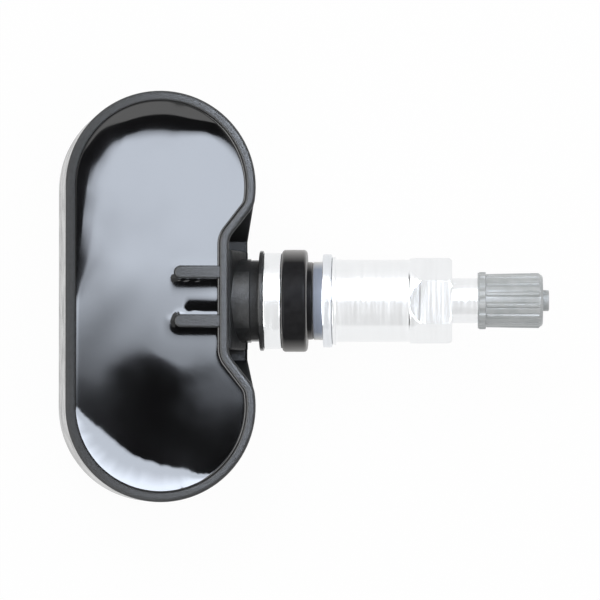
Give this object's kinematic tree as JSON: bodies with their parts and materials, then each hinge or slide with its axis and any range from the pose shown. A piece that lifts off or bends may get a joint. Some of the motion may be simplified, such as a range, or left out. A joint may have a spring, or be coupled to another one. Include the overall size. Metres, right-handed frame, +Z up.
{
  "type": "tyre pressure sensor",
  "caption": "Clamp-in valve with a long hex nut and ribbed cap, on a potted kidney-shaped housing that reads and sends a tyre's pressure.",
  "frame": {"origin": "on the valve's axis, in the plane where the grommet's flange seats on the wheel rim", "axes": "+X along the valve towards its cap, seen from above; +Z up out of the potted face; the valve's axis climbs 9 degrees from +X towards +Z"},
  "size_m": [0.0832, 0.0698, 0.0208],
  "materials": {
    "housing_plastic": "fine spark texture",
    "potting": "glossy cast resin",
    "board": "solder mask",
    "cell_steel": "bright",
    "tab_steel": "bright",
    "chip_resin": "moulded resin",
    "seal_rubber": "soft",
    "ferrite": "matte ferrite",
    "copper": "enamelled copper wire",
    "strip_brass": "bright",
    "ceramic": "ceramic",
    "stem_aluminium": "satin",
    "washer_steel": "satin",
    "nut_aluminium": "satin, turned",
    "core_brass": "turned",
    "spring_steel": "bright",
    "cap_plastic": "satin"
  },
  "bodies": {
    "sensor": {"housing": "housing_plastic", "potting_compound": "potting", "circuit_board": "board", "battery_cell": "cell_steel", "battery_tab_positive": "tab_steel", "battery_tab_negative": "tab_steel", "sensor_chip": "chip_resin", "sensor_port_seal": "seal_rubber", "transmitter_chip": "chip_resin", "crystal": "cell_steel", "lf_coil_core": "ferrite", "lf_coil_winding": "copper", "rf_antenna": "strip_brass", "chip_capacitors": "ceramic", "chip_resistors": "chip_resin", "valve_stem": "stem_aluminium", "rim_grommet": "seal_rubber", "core_body": "core_brass", "core_seal_ring": "seal_rubber", "core_spring": "spring_steel"},
    "washer": {"nut_washer": "washer_steel"},
    "nut": {"hex_nut": "nut_aluminium"},
    "pin": {"core_pin": "core_brass", "core_cup": "core_brass", "core_cup_seal": "seal_rubber"},
    "cap_disc": {"cap_seal": "seal_rubber"},
    "cap": {"valve_cap": "cap_plastic"}
  },
  "joints": [
    {"name": "nut_travel", "type": "slide", "parent": "sensor", "child": "washer", "axis": [0.9877, 0, 0.1564], "range_m": [0, 0.0039]},
    {"name": "nut_turn", "type": "hinge", "parent": "washer", "child": "nut", "pos_m": [0, 0, 0], "axis": [0.9877, 0, 0.1564], "range_deg": [0, 1404]},
    {"name": "cap_travel", "type": "slide", "parent": "sensor", "child": "cap_disc", "axis": [0.9877, 0, 0.1564], "range_m": [0, 0.012]},
    {"name": "cap_turn", "type": "hinge", "parent": "cap_disc", "child": "cap", "pos_m": [0, 0, 0], "axis": [0.9877, 0, 0.1564], "range_deg": [0, 5440.3]},
    {"name": "core_pin_press", "type": "slide", "parent": "sensor", "child": "pin", "axis": [-0.9877, 0, -0.1564], "range_m": [0, 0.0012], "stiffness_N_per_m": 1500, "springref_m": -0.001, "deforming": ["core_spring"]}
  ],
  "couplings": [
    {"joint": "nut_travel", "follows": "nut_turn", "m_per_rad": 0.00015915},
    {"joint": "cap_travel", "follows": "cap_turn", "m_per_rad": 0.00012637}
  ]
}
